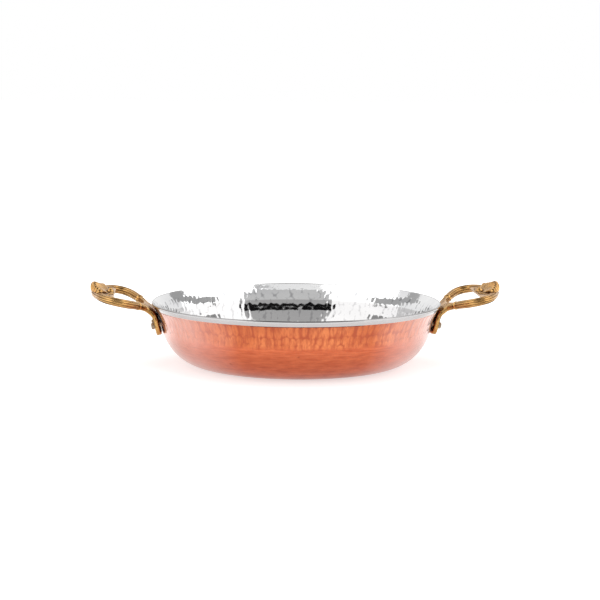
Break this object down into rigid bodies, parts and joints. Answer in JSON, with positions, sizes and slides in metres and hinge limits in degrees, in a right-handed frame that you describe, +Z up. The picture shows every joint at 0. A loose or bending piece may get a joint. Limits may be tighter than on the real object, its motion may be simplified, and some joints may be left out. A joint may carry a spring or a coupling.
{
  "type": "serving pan",
  "caption": "Round shallow copper pan with a tinned inside, a flared lip and cast brass loop handles riveted to its wall.",
  "frame": {"origin": "centre of the flat base, on the surface that the pan stands on", "axes": "+Z up out of the pan, +X along the line through both handles, +Y across"},
  "size_m": [0.3682, 0.259, 0.0741],
  "materials": {
    "copper": "hammered and polished copper",
    "tin": "hammered, hand-wiped tin",
    "cast_brass": "cast, brushed and left slightly rough",
    "rivet_metal": "dull peened copper alloy"
  },
  "bodies": {
    "root": {"copper_body": "copper", "tin_lining": "tin", "left_handle": "cast_brass", "right_handle": "cast_brass", "left_rivet_front": "rivet_metal", "left_rivet_back": "rivet_metal", "right_rivet_front": "rivet_metal", "right_rivet_back": "rivet_metal"}
  },
  "joints": []
}
